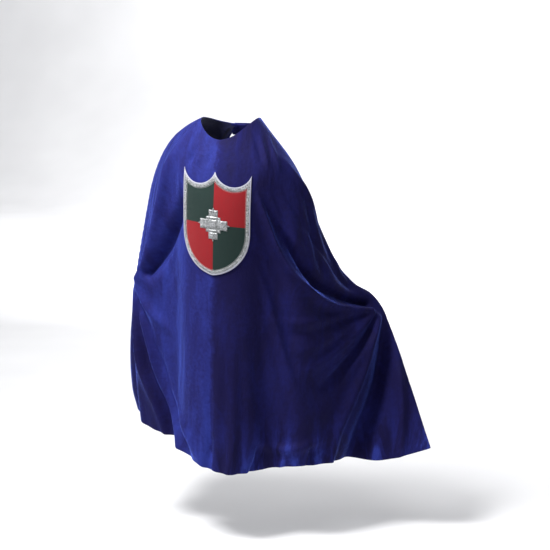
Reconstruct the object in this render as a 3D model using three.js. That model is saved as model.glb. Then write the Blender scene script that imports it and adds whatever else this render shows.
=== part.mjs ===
// A dress-up superhero cape for a child, hanging as it does on a wearer who holds its two
// front edges out. The cape is a pile-fabric shell with a satin lining, a faced neckline, a
// hook-and-loop neck closure, a quartered shield patch on the back and a sewn-in label.
//
// Frame, in millimetres: the origin is the centre of the neck opening at the level of its
// sides. +Z is up, the shield faces -Y, and the two front edges meet at the +Y side of the neck.

import * as THREE from 'three';
import { mergeVertices } from 'three/addons/utils/BufferGeometryUtils.js';

// ---------------------------------------------------------------- driving dimensions

// Overall drape: how far the back hem hangs below the neck sides, and how far the cloth spreads.
const CAPE_DROP = 652;
const CAPE_SPREAD = 372;

// Neck opening.
const NECK_HALF_WIDTH = 58;
const NECK_HALF_DEPTH = 57;
const NECK_BACK_DROP = 41;
const NECK_FRONT_DROP = 16;

// Cloth layers, from the outside in.
const SHELL_THICKNESS = 1.6;
const LINING_THICKNESS = 0.6;
const FACING_THICKNESS = 0.8;
const LAYER_GAP = 0.3;

// The two vertical fold lines that the wings swing on, and the level where the wings start.
const FOLD_HALF_SPACING = 100;
const FOLD_DEPTH = 50;
const WING_TOP_DROP = 130;
const FOLD_SLOT = 2.6;

// The narrow facing strip inside the neckline, in stations of the drape.
const FACING_STATIONS = 1;

// Shield patch, measured on the cloth. The skew is how far its rows drop per mm towards +X.
const SHIELD_WIDTH = 138;
const SHIELD_HEIGHT = 190;
const SHIELD_TOP_DROP = 99;
const SHIELD_SIDE_LENGTH = 110;
const SHIELD_SCOOP_DEPTH = 24;
const SHIELD_DIVISION = 96;
const SHIELD_SKEW = 0.1;
const BORDER_WIDTH = 8;
const BORDER_HEIGHT = 1.5;
const PATCH_STANDOFF = 0.8;
const BACKING_THICKNESS = 0.8;
const BACKING_INSET = 1;
const QUARTER_THICKNESS = 0.7;
const CROSS_SPAN = 54;
const CROSS_ARM_WIDTH = 18;
const CROSS_CORE = 29;
const CROSS_THICKNESS = 1.2;

// Neck closure: a flap on the right front laps over a tab on the left front.
const TAB_HEIGHT = 24;
const TAB_THICKNESS = 1.6;
const TAB_CORNER = 5;
const TAB_TILT = 27;
const CLOSURE_STANDOFF = 0.5;
const FLAP_LENGTH = 32;
const FLAP_PIVOT = 13;
const SEWN_END_LENGTH = 9;
const UNDER_TAB_LENGTH = 34;
const STRIP_LENGTH = 22;
const STRIP_HEIGHT = 16;
const STRIP_THICKNESS = 1.2;
const STRIP_CORNER_SHARE = 0.3;
const STRIP_END_INSET = 1.2;

// Label inside the back neck.
const LABEL_WIDTH = 30;
const LABEL_LENGTH = 38;
const LABEL_THICKNESS = 0.5;
const LABEL_STANDOFF = 3.2;

// ---------------------------------------------------------------- materials

const clothMaterial = (color, roughness, metalness = 0) =>
  new THREE.MeshStandardMaterial({ color, roughness, metalness, side: THREE.FrontSide });

const VELOUR = clothMaterial(0x2a2c86, 0.85);
const LINING = clothMaterial(0x14163c, 0.5);
const FELT_RED = clothMaterial(0xb81f28, 0.8);
const FELT_GREEN = clothMaterial(0x1d3531, 0.8);
const LAME = clothMaterial(0xc9ccd2, 0.35, 0.7);
const FELT_GREY = clothMaterial(0x55585f, 0.9);
const TAPE = clothMaterial(0x16182f, 0.7);
const LABEL = clothMaterial(0xf0f0ea, 0.7);

// ---------------------------------------------------------------- the drape

// The drape points below are written for this drop and spread, and follow the two driving sizes.
const NOMINAL_DROP = 652;
const NOMINAL_SPREAD = 372;
const DROP_SCALE = CAPE_DROP / NOMINAL_DROP;
const SPREAD_SCALE = CAPE_SPREAD / NOMINAL_SPREAD;

const radians = THREE.MathUtils.degToRad;

// A point on the neckline at an angle round from the centre back, positive towards +X.
function necklinePoint(angle) {
  const turn = radians(angle);
  const drop = Math.cos(turn) > 0 ? NECK_BACK_DROP : NECK_FRONT_DROP;
  return new THREE.Vector3(
    NECK_HALF_WIDTH * Math.sin(turn),
    -NECK_HALF_DEPTH * Math.cos(turn),
    -drop * Math.cos(turn) ** 2,
  );
}

// One line of the drape from the neckline down to the hem.
function dropLine(angle, points) {
  const places = points.map(([x, y, z]) => (
    new THREE.Vector3(x * SPREAD_SCALE, y * SPREAD_SCALE, z * DROP_SCALE)));
  return [necklinePoint(angle), ...places];
}

// The third point of the outer drop lines lies at the wing top, whatever the drop is.
function wingLine(angle, points) {
  const line = dropLine(angle, points);
  line[3].z = -WING_TOP_DROP;
  return line;
}

// The fold lines are vertical from just above the wing top to the hem.
function foldLine(angle, side, points) {
  const line = wingLine(angle, points);
  for (const place of line.slice(2)) {
    place.x = side * FOLD_HALF_SPACING;
    place.y = -FOLD_DEPTH;
  }
  return line;
}

// Drop lines from the left front edge, round the back, to the right front edge. The hands of
// the wearer hold the first and the last one at their fifth point.
const DROP_LINES = [
  wingLine(-170, [[-44, 68, -62], [-70, 76, -98], [-96, 84, -130], [-156, 106, -215],
    [-252, 142, -346], [-236, 160, -475], [-172, 168, -596]]),
  wingLine(-139, [[-84, 52, -34], [-122, 56, -78], [-148, 58, -130], [-188, 78, -213],
    [-244, 104, -342], [-238, 106, -475], [-190, 112, -585]]),
  wingLine(-112, [[-98, 26, -22], [-140, 22, -62], [-170, 20, -130], [-200, 34, -212],
    [-232, 46, -338], [-234, 40, -475], [-206, 38, -566]]),
  wingLine(-82, [[-96, -6, -20], [-132, -10, -62], [-150, -20, -130], [-172, -20, -212],
    [-192, -26, -338], [-196, -34, -475], [-166, -40, -594]]),
  foldLine(-56, -1, [[-74, -42, -42], [-97, -50, -84], [-100, -50, -130], [-100, -50, -214],
    [-100, -50, -338], [-100, -50, -475], [-100, -50, -608]]),
  dropLine(-27, [[-42, -64, -60], [-54, -76, -98], [-57, -84, -148], [-57, -88, -222],
    [-57, -92, -342], [-55, -98, -480], [-54, -100, -630]]),
  dropLine(0, [[1, -74, -68], [3, -88, -108], [4, -98, -158], [5, -104, -228],
    [5, -109, -346], [5, -116, -486], [4, -122, -650]]),
  dropLine(27, [[42, -64, -62], [55, -76, -102], [60, -84, -152], [60, -88, -226],
    [60, -94, -344], [60, -104, -486], [60, -116, -655]]),
  foldLine(56, 1, [[72, -42, -48], [96, -50, -90], [100, -50, -130], [100, -50, -216],
    [100, -50, -342], [100, -50, -486], [100, -50, -650]]),
  wingLine(82, [[82, -6, -32], [114, -10, -72], [136, -20, -130], [148, -22, -214],
    [160, -34, -342], [162, -52, -488], [167, -60, -641]]),
  wingLine(112, [[80, 24, -38], [116, 22, -78], [146, 16, -130], [168, 26, -214],
    [200, 40, -344], [204, 30, -490], [207, 22, -645]]),
  wingLine(139, [[64, 48, -48], [100, 50, -88], [128, 46, -130], [168, 62, -220],
    [228, 104, -354], [270, 86, -492], [286, 76, -658]]),
  wingLine(170, [[38, 62, -60], [66, 66, -96], [98, 66, -130], [172, 92, -254],
    [258, 140, -364], [316, 120, -492], [372, 96, -634]]),
];

const CURVE_TENSION = 0.5;
const LAST_LINE = DROP_LINES.length - 1;
const LAST_STATION = DROP_LINES[0].length - 1;
const LEFT_FOLD = 4;
const CENTRE_BACK = 6;
const RIGHT_FOLD = 8;
const WING_STATION = 3;

const smooth = (points) => new THREE.CatmullRomCurve3(points, false, 'catmullrom', CURVE_TENSION);
const dropCurves = DROP_LINES.map(smooth);

// The outer face of the shell: line runs round the wearer, station runs from neck to hem.
function clothPoint(line, station) {
  const around = smooth(dropCurves.map((curve) => curve.getPoint(station / LAST_STATION)));
  return around.getPoint(line / LAST_LINE);
}

const SLOPE_STEP = 0.01;

function clothSlopes(line, station) {
  const lineLow = Math.max(line - SLOPE_STEP, 0);
  const lineHigh = Math.min(line + SLOPE_STEP, LAST_LINE);
  const stationLow = Math.max(station - SLOPE_STEP, 0);
  const stationHigh = Math.min(station + SLOPE_STEP, LAST_STATION);
  const across = clothPoint(lineHigh, station).sub(clothPoint(lineLow, station));
  const down = clothPoint(line, stationHigh).sub(clothPoint(line, stationLow));
  return {
    across: across.divideScalar(lineHigh - lineLow),
    down: down.divideScalar(stationHigh - stationLow),
  };
}

// Outward unit normal of the cloth.
function clothNormal(line, station) {
  const { across, down } = clothSlopes(line, station);
  return down.cross(across).normalize();
}

const clothPlace = (line, station) => ({
  point: clothPoint(line, station),
  normal: clothNormal(line, station),
});

// Passes of Newton's method when a place on the cloth is looked up.
const SEARCH_PASSES = 6;

// ---------------------------------------------------------------- closed solids from grids

const MERGE_TOLERANCE = 1e-4;

function meshFrom(name, positions, triangles, material) {
  const geometry = new THREE.BufferGeometry();
  geometry.setAttribute('position', new THREE.Float32BufferAttribute(positions, 3));
  geometry.setIndex(triangles);
  const solid = mergeVertices(geometry, MERGE_TOLERANCE);
  solid.computeVertexNormals();
  const mesh = new THREE.Mesh(solid, material);
  mesh.name = name;
  return mesh;
}

// A closed solid between two depths inside a grid of places. Cells that keep refuses are left
// out, and a side wall closes every open edge. closed joins the last column to the first.
function gridSolid(name, grid, nearDepth, farDepth, material, keep = () => true, closed = false) {
  const columns = grid.length;
  const rows = grid[0].length;
  const positions = [];
  for (const depth of [nearDepth, farDepth]) {
    for (const column of grid) {
      for (const { point, normal } of column) {
        positions.push(...point.clone().addScaledVector(normal, -depth).toArray());
      }
    }
  }
  const corner = (side, i, j) => side * columns * rows + (i % columns) * rows + j;
  const cellColumns = closed ? columns : columns - 1;
  const exists = (i, j) => {
    const column = closed ? (i + columns) % columns : i;
    const inside = column >= 0 && column < cellColumns && j >= 0 && j < rows - 1;
    return inside && keep(column, j);
  };
  const triangles = [];
  const quad = (a, b, c, d) => triangles.push(a, b, c, a, c, d);
  const wall = (i, j, k, l) => quad(corner(0, i, j), corner(0, k, l), corner(1, k, l), corner(1, i, j));
  for (let i = 0; i < cellColumns; i += 1) {
    for (let j = 0; j < rows - 1; j += 1) {
      if (!exists(i, j)) continue;
      quad(corner(0, i, j), corner(0, i, j + 1), corner(0, i + 1, j + 1), corner(0, i + 1, j));
      quad(corner(1, i, j), corner(1, i + 1, j), corner(1, i + 1, j + 1), corner(1, i, j + 1));
      if (!exists(i - 1, j)) wall(i, j + 1, i, j);
      if (!exists(i + 1, j)) wall(i + 1, j, i + 1, j + 1);
      if (!exists(i, j - 1)) wall(i, j, i + 1, j);
      if (!exists(i, j + 1)) wall(i + 1, j + 1, i, j + 1);
    }
  }
  return meshFrom(name, positions, triangles, material);
}

// ---------------------------------------------------------------- shell and lining panels

// Facets across each gap between drop lines, and down each gap between stations.
const FACETS_ACROSS = [3, 3, 3, 3, 4, 4, 4, 4, 3, 3, 3, 3];
const FACETS_DOWN = [2, 2, 2, 3, 4, 4, 4];

function gridLines(facets, first, last) {
  const lines = [first];
  for (let gap = first; gap < last; gap += 1) {
    for (let k = 1; k <= facets[gap]; k += 1) {
      lines.push(gap + k / facets[gap]);
    }
  }
  return lines;
}

// The line value half a slot to one side of a fold line.
function slotLine(fold, station, side) {
  const speed = clothSlopes(fold, station).across.length();
  return fold + side * FOLD_SLOT / 2 / speed;
}

// The station value half a slot above (-1) or below (+1) the wing top.
function slotStation(line, side) {
  const level = -WING_TOP_DROP - side * FOLD_SLOT / 2;
  let station = WING_STATION;
  for (let pass = 0; pass < SEARCH_PASSES; pass += 1) {
    station += (level - clothPoint(line, station).z) / clothSlopes(line, station).down.z;
  }
  return station;
}

// Places over a range of lines and stations. A column on a fold line moves to the slot edge on
// foldSide, and the wing part of the row on the wing top moves to the slot edge on topSide.
function panelGrid(lines, stations, fold, foldSide, topSide) {
  return lines.map((line) => stations.map((station) => {
    const onFold = line === fold && station >= WING_STATION;
    const panelLine = onFold ? slotLine(fold, station, foldSide) : line;
    const onTop = station === WING_STATION && (line <= LEFT_FOLD || line >= RIGHT_FOLD);
    return clothPlace(panelLine, onTop ? slotStation(panelLine, topSide) : station);
  }));
}

const allStations = gridLines(FACETS_DOWN, 0, LAST_STATION);
const wingStations = gridLines(FACETS_DOWN, WING_STATION, LAST_STATION);
const wingTopRow = allStations.indexOf(WING_STATION);

const leftLines = gridLines(FACETS_ACROSS, 0, CENTRE_BACK);
const rightLines = gridLines(FACETS_ACROSS, CENTRE_BACK, LAST_LINE);
const leftFoldColumn = leftLines.indexOf(LEFT_FOLD);
const rightFoldColumn = rightLines.indexOf(RIGHT_FOLD);

// The two halves meet at the centre back with a seam gap.
function backGrid(lines, fold, side) {
  const grid = panelGrid(lines, allStations, fold, -side, -1);
  const centreColumn = grid[lines.indexOf(CENTRE_BACK)];
  centreColumn.forEach((place, row) => {
    const { across } = clothSlopes(CENTRE_BACK, allStations[row]);
    place.point.addScaledVector(across.normalize(), side * LAYER_GAP / 2);
  });
  return grid;
}

const panels = {
  left_back: {
    grid: backGrid(leftLines, LEFT_FOLD, -1),
    keep: (i, j) => i >= leftFoldColumn || j < wingTopRow,
  },
  right_back: {
    grid: backGrid(rightLines, RIGHT_FOLD, 1),
    keep: (i, j) => i < rightFoldColumn || j < wingTopRow,
  },
  left_wing: {
    grid: panelGrid(gridLines(FACETS_ACROSS, 0, LEFT_FOLD), wingStations, LEFT_FOLD, -1, 1),
  },
  right_wing: {
    grid: panelGrid(gridLines(FACETS_ACROSS, RIGHT_FOLD, LAST_LINE), wingStations, RIGHT_FOLD, 1, 1),
  },
};

const LINING_NEAR = SHELL_THICKNESS + LAYER_GAP;
const LINING_FAR = LINING_NEAR + LINING_THICKNESS;

function clothPanels() {
  return Object.entries(panels).flatMap(([place, { grid, keep }]) => [
    gridSolid(`shell_${place}`, grid, 0, SHELL_THICKNESS, VELOUR, keep),
    gridSolid(`lining_${place}`, grid, LINING_NEAR, LINING_FAR, LINING, keep),
  ]);
}

// A strip inside the lining along the whole neckline.
function neckFacing() {
  const stations = gridLines(FACETS_DOWN, 0, FACING_STATIONS);
  const grid = gridLines(FACETS_ACROSS, 0, LAST_LINE)
    .map((line) => stations.map((station) => clothPlace(line, station)));
  const near = LINING_FAR + LAYER_GAP;
  return gridSolid('neck_facing', grid, near, near + FACING_THICKNESS, VELOUR);
}

// ---------------------------------------------------------------- shield patch

// Finds the place on the cloth over a given x and z, starting near the centre back.
function clothOver(x, z, guess) {
  let { line, station } = guess;
  for (let pass = 0; pass < SEARCH_PASSES; pass += 1) {
    const here = clothPoint(line, station);
    const { across, down } = clothSlopes(line, station);
    const determinant = across.x * down.z - down.x * across.z;
    const missX = x - here.x;
    const missZ = z - here.z;
    line += (missX * down.z - missZ * down.x) / determinant;
    station += (missZ * across.x - missX * across.z) / determinant;
  }
  return { line, station };
}

const SHIELD_TOP = -SHIELD_TOP_DROP;
const WALK_STEP = 4;
const WALK_END = 1e-6;

// The cloth place that lies sideways mm along a level curve from the centre back line.
function shieldPlace(sideways, down) {
  const level = SHIELD_TOP - down - sideways * SHIELD_SKEW;
  let found = clothOver(clothPoint(CENTRE_BACK, WING_STATION).x, level,
    { line: CENTRE_BACK, station: WING_STATION });
  const direction = Math.sign(sideways);
  let left = Math.abs(sideways);
  while (left > WALK_END) {
    const stride = Math.min(left, WALK_STEP);
    const { across } = clothSlopes(found.line, found.station);
    const levelRun = Math.hypot(across.x, across.y);
    const here = clothPoint(found.line, found.station);
    found = clothOver(here.x + direction * stride * across.x / levelRun, level, found);
    left -= stride;
  }
  return clothPlace(found.line, found.station);
}

const shieldGrid = (columns) => columns.map((column) => column.map(([s, h]) => shieldPlace(s, h)));

// Shield outline, inset from the patch edge: straight sides, two arcs to the bottom point and
// two scooped arcs between the three top points.
function shieldOutline(inset) {
  const half = SHIELD_WIDTH / 2;
  const lowHeight = SHIELD_HEIGHT - SHIELD_SIDE_LENGTH;
  const lowRadius = (half ** 2 + lowHeight ** 2) / (2 * half);
  const lowCentre = half - lowRadius;
  const scoopRadius = ((half / 2) ** 2 + SHIELD_SCOOP_DEPTH ** 2) / (2 * SHIELD_SCOOP_DEPTH);
  const scoopCentre = SHIELD_SCOOP_DEPTH - scoopRadius;
  const side = half - inset;
  return {
    side,
    // depth of the lower edge at a distance from the centre line
    bottom: (s) => SHIELD_SIDE_LENGTH
      + Math.sqrt(Math.max((lowRadius - inset) ** 2 - (Math.abs(s) - lowCentre) ** 2, 0)),
    // depth of the scooped upper edge
    top: (s) => scoopCentre
      + Math.sqrt(Math.max((scoopRadius + inset) ** 2 - (Math.abs(s) - half / 2) ** 2, 0)),
  };
}

const between = (from, to, count) =>
  Array.from({ length: count + 1 }, (_, k) => from + (to - from) * k / count);

const SHIELD_COLUMNS = 9;
const SHIELD_ROWS = 6;

// Shares of the half width at which every shield layer has a column, closer near the edge.
const COLUMN_SHARES = between(0, Math.PI / 2, SHIELD_COLUMNS).map(Math.sin);

// Half of a shield layer between two depths given as functions of the distance s from centre.
function shieldHalf(side, from, to, topEdge, bottomEdge, rows = SHIELD_ROWS) {
  const spread = COLUMN_SHARES.map((share) => from + (to - from) * share);
  const columns = spread.map((s) => (
    between(topEdge(s), bottomEdge(s), rows).map((h) => [side * s, h])));
  return shieldGrid(side > 0 ? columns : columns.reverse());
}

const BACKING_NEAR = -PATCH_STANDOFF;
const BACKING_FAR = BACKING_NEAR - BACKING_THICKNESS;
const QUARTER_NEAR = BACKING_FAR - LAYER_GAP;
const QUARTER_FAR = QUARTER_NEAR - QUARTER_THICKNESS;
const BORDER_FAR = QUARTER_NEAR - BORDER_HEIGHT;
const CROSS_NEAR = QUARTER_FAR - LAYER_GAP;
const CROSS_FAR = CROSS_NEAR - CROSS_THICKNESS;

function shieldBacking() {
  const { side, top, bottom } = shieldOutline(BACKING_INSET);
  const left = shieldHalf(-1, 0, side, top, bottom);
  const right = shieldHalf(1, 0, side, top, bottom);
  return gridSolid('shield_backing', [...left, ...right.slice(1)], BACKING_FAR, BACKING_NEAR, FELT_GREY);
}

function shieldQuarters() {
  const { side, top, bottom } = shieldOutline(BORDER_WIDTH + LAYER_GAP);
  const gap = LAYER_GAP / 2;
  const division = (shift) => () => SHIELD_DIVISION + shift;
  const quarter = (name, sideways, from, to, material) => gridSolid(
    name, shieldHalf(sideways, gap, side, from, to), QUARTER_FAR, QUARTER_NEAR, material);
  return [
    quarter('shield_quarter_top_left', -1, top, division(-gap), FELT_GREEN),
    quarter('shield_quarter_top_right', 1, top, division(-gap), FELT_RED),
    quarter('shield_quarter_bottom_left', -1, division(gap), bottom, FELT_RED),
    quarter('shield_quarter_bottom_right', 1, division(gap), bottom, FELT_GREEN),
  ];
}

const SIDE_FACETS = 8;

// The border ring: matching points on the outer and the inner outline, clockwise from the
// middle top point.
function shieldBorder() {
  const loop = (inset) => {
    const { side, top, bottom } = shieldOutline(inset);
    const spread = COLUMN_SHARES.map((share) => side * share);
    const scoop = spread.map((s) => [s, top(s)]);
    const edge = between(top(side), SHIELD_SIDE_LENGTH, SIDE_FACETS).map((h) => [side, h]);
    const point = spread.map((s) => [s, bottom(s)]).reverse();
    const right = [...scoop, ...edge.slice(1), ...point.slice(1)];
    const left = right.slice(1, -1).reverse().map(([s, h]) => [-s, h]);
    return [...right, ...left];
  };
  const outer = loop(0);
  const middle = loop(BORDER_WIDTH / 2);
  const inner = loop(BORDER_WIDTH);
  const columns = outer.map((place, k) => [place, middle[k], inner[k]]);
  const grid = shieldGrid(columns);
  return gridSolid('shield_border', grid, BORDER_FAR, QUARTER_NEAR, LAME, () => true, true);
}

// A plain stepped cross over the point where the quarters meet.
function shieldCross() {
  const reach = CROSS_SPAN / 2;
  const arm = CROSS_ARM_WIDTH / 2;
  const core = CROSS_CORE / 2;
  const steps = [-reach, -core, -arm, 0, arm, core, reach];
  const columns = steps.map((s) => steps.map((h) => [s, SHIELD_DIVISION + h]));
  const keep = (i, j) => {
    const s = Math.abs(steps[i] + steps[i + 1]) / 2;
    const h = Math.abs(steps[j] + steps[j + 1]) / 2;
    return (s < core && h < core) || s < arm || h < arm;
  };
  return gridSolid('shield_cross', shieldGrid(columns), CROSS_FAR, CROSS_NEAR, LAME, keep);
}

// ---------------------------------------------------------------- neck closure

// The closure lies on a sloping plane just in front of the throat: x across, y down the slope,
// z out of the slope.
const closure = new THREE.Group();
closure.position.set(0, NECK_HALF_DEPTH + CLOSURE_STANDOFF, -NECK_FRONT_DROP);
closure.rotation.x = -radians(90 - TAB_TILT);

const CORNER_FACETS = 5;
const SHARP_CORNER = 0.01;

// A plate with rounded corners. corners gives the left and the right radius as shares of
// TAB_CORNER, and a share of 0 leaves that end square.
function roundedPlate(name, left, right, height, low, thickness, material, corners = [1, 1]) {
  const [leftRound, rightRound] = corners.map((round) => Math.max(round * TAB_CORNER, SHARP_CORNER));
  const half = height / 2;
  const outline = new THREE.Shape();
  outline.moveTo(left + leftRound, -half);
  outline.lineTo(right - rightRound, -half);
  outline.absarc(right - rightRound, -half + rightRound, rightRound, -Math.PI / 2, 0, false);
  outline.absarc(right - rightRound, half - rightRound, rightRound, 0, Math.PI / 2, false);
  outline.lineTo(left + leftRound, half);
  outline.absarc(left + leftRound, half - leftRound, leftRound, Math.PI / 2, Math.PI, false);
  outline.absarc(left + leftRound, -half + leftRound, leftRound, Math.PI, Math.PI * 1.5, false);
  const plate = new THREE.ExtrudeGeometry(outline, {
    depth: thickness, bevelEnabled: false, curveSegments: CORNER_FACETS,
  });
  plate.translate(0, TAB_HEIGHT / 2, low);
  plate.deleteAttribute('normal');
  plate.deleteAttribute('uv');
  const solid = mergeVertices(plate, MERGE_TOLERANCE);
  solid.computeVertexNormals();
  const mesh = new THREE.Mesh(solid, material);
  mesh.name = name;
  return mesh;
}

function neckClosure() {
  const underLow = LAYER_GAP;
  const loopLow = underLow + TAB_THICKNESS + LAYER_GAP;
  const hookLow = loopLow + STRIP_THICKNESS + LAYER_GAP;
  const flapLow = hookLow + STRIP_THICKNESS + LAYER_GAP;
  const slot = FOLD_SLOT / 2;
  const underEnd = FLAP_PIVOT - FOLD_SLOT;
  const stripEnd = underEnd - STRIP_END_INSET;
  const stripCorners = [STRIP_CORNER_SHARE, STRIP_CORNER_SHARE];
  closure.add(
    roundedPlate('closure_under_tab', underEnd - UNDER_TAB_LENGTH, underEnd, TAB_HEIGHT,
      underLow, TAB_THICKNESS, VELOUR, [0, 1]),
    roundedPlate('closure_loop_strip', stripEnd - STRIP_LENGTH, stripEnd, STRIP_HEIGHT,
      loopLow, STRIP_THICKNESS, TAPE, stripCorners),
    roundedPlate('closure_hook_strip', stripEnd - STRIP_LENGTH, stripEnd, STRIP_HEIGHT,
      hookLow, STRIP_THICKNESS, TAPE, stripCorners),
    roundedPlate('closure_flap', FLAP_PIVOT - slot - FLAP_LENGTH, FLAP_PIVOT - slot, TAB_HEIGHT,
      flapLow, TAB_THICKNESS, VELOUR, [1, 0]),
    roundedPlate('closure_flap_sewn_end', FLAP_PIVOT + slot, FLAP_PIVOT + slot + SEWN_END_LENGTH,
      TAB_HEIGHT, flapLow, TAB_THICKNESS, VELOUR, [0, 0]),
  );
  return closure;
}

// ---------------------------------------------------------------- label

// The label hangs from the neck seam at the centre back, inside the cape.
function careLabel() {
  const seam = clothPoint(CENTRE_BACK, 0);
  const depth = LINING_FAR + LAYER_GAP + FACING_THICKNESS + LABEL_STANDOFF;
  const plate = new THREE.BoxGeometry(LABEL_WIDTH, LABEL_THICKNESS, LABEL_LENGTH);
  const mesh = new THREE.Mesh(plate, LABEL);
  mesh.position.set(seam.x, seam.y + depth, seam.z - LABEL_LENGTH / 2 - LABEL_STANDOFF);
  mesh.name = 'care_label';
  return mesh;
}

// ---------------------------------------------------------------- the cape

const cape = new THREE.Group();
cape.add(
  ...clothPanels(),
  neckFacing(),
  shieldBacking(),
  ...shieldQuarters(),
  shieldBorder(),
  shieldCross(),
  neckClosure(),
  careLabel(),
);

export default cape;
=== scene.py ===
import math

import bmesh
import bpy
import numpy as np
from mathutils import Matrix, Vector


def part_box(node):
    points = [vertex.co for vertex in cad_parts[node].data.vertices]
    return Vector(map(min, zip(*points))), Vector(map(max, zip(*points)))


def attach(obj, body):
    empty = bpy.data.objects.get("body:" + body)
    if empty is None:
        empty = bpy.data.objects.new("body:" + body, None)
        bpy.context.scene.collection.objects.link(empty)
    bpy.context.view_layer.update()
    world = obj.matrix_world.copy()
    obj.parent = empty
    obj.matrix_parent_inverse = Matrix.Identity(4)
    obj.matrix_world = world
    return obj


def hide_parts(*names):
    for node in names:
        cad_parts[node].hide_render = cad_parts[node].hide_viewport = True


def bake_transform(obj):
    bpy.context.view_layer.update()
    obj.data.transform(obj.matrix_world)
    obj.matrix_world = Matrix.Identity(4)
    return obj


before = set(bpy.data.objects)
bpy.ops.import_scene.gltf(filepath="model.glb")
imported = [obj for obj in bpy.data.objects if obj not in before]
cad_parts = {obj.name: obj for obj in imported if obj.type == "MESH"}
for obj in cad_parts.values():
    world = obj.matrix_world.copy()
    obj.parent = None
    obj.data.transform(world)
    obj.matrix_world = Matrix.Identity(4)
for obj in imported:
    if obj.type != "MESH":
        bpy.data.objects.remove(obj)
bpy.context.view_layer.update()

MM = 0.001

# ------------------------------------------------------------------ camera, floor and light

CAMERA_AZIMUTH = math.radians(20)
CAMERA_ELEVATION = math.radians(8)
CAMERA_DISTANCE = 3.0
VIEW_WIDTH = 1.045
AIM_RIGHT = 0.084
AIM_DOWN = 0.300
SENSOR = 36
FLOOR_Z = -0.8
WALL_Y = 7.0
WALL_BEND = 1.5
WALL_TOP = 9.0
STAGE_HALF_WIDTH = 16.0
LIGHT_TARGET = Vector((0.05, 0, -0.3))


def camera_axes():
    back = direction(CAMERA_AZIMUTH, CAMERA_ELEVATION)
    right = Vector((math.cos(CAMERA_AZIMUTH), math.sin(CAMERA_AZIMUTH), 0))
    return right, back.cross(right), back


def make_camera():
    right, up, back = camera_axes()
    camera = bpy.data.objects.new("camera", bpy.data.cameras.new("camera"))
    bpy.context.scene.collection.objects.link(camera)
    aim = right * AIM_RIGHT - up * AIM_DOWN
    camera.location = aim + back * CAMERA_DISTANCE
    camera.rotation_mode = "QUATERNION"
    camera.rotation_quaternion = back.to_track_quat("Z", "Y")
    camera.data.sensor_width = SENSOR
    camera.data.lens = SENSOR * CAMERA_DISTANCE / VIEW_WIDTH
    camera.data.clip_start = 0.1
    camera.data.clip_end = 50
    bpy.context.scene.camera = camera


def direction(azimuth, elevation):
    """Unit vector towards an azimuth, measured round from -Y, and an elevation."""
    level = math.cos(elevation)
    return Vector((math.sin(azimuth) * level, -math.cos(azimuth) * level, math.sin(elevation)))


def make_light(name, size, energy, place, aim):
    """A square area light at a place, shining along aim."""
    light = bpy.data.lights.new(name, "AREA")
    light.size = size
    light.energy = energy
    holder = bpy.data.objects.new(name, light)
    bpy.context.scene.collection.objects.link(holder)
    holder.location = place
    holder.rotation_mode = "QUATERNION"
    holder.rotation_quaternion = (-Vector(aim)).to_track_quat("Z", "Y")


def light_cape(name, azimuth, elevation, distance, size, energy):
    """An area light that looks at the cape from an azimuth and an elevation in degrees."""
    back = direction(math.radians(azimuth), math.radians(elevation))
    make_light(name, size, energy, LIGHT_TARGET + back * distance, -back)


def make_stage():
    """A pale floor that curves up into a pale wall behind the cape."""
    bend = [math.radians(90 * k / 12) for k in range(13)]
    curve = [(WALL_Y + WALL_BEND * (math.sin(t) - 1), FLOOR_Z + WALL_BEND * (1 - math.cos(t)))
             for t in bend]
    profile = [(-2 * WALL_Y, FLOOR_Z)] + curve + [(WALL_Y, WALL_TOP)]
    vertices = [(x, y, z) for x in (-STAGE_HALF_WIDTH, STAGE_HALF_WIDTH) for y, z in profile]
    count = len(profile)
    faces = [(k, k + count, k + count + 1, k + 1) for k in range(count - 1)]
    floor = link_mesh("floor", vertices, faces, floor_material())
    world = bpy.data.worlds.new("studio")
    world.use_nodes = True
    world.node_tree.nodes["Background"].inputs["Color"].default_value = (0.93, 0.95, 1, 1)
    world.node_tree.nodes["Background"].inputs["Strength"].default_value = 0.24
    bpy.context.scene.world = world
    light_cape("key", -34, 56, 1.55, 0.55, 44)
    light_cape("fill", -75, 20, 3.0, 1.4, 7)
    light_cape("top", 30, 72, 2.4, 1.4, 9)
    make_light("wall_wash", 5.0, 300, place=(0, 3.4, 2.6), aim=(0, 1.0, -0.45))
    make_light("floor_wash", 3.0, 90, place=(0, 2.6, 2.2), aim=(0, 0.35, -1.0))
    bpy.context.scene.view_settings.view_transform = "Standard"


# ------------------------------------------------------------------ materials


def new_material(name):
    material = bpy.data.materials.new(name)
    material.use_nodes = True
    return material, material.node_tree.nodes["Principled BSDF"], Graph(material.node_tree)


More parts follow.
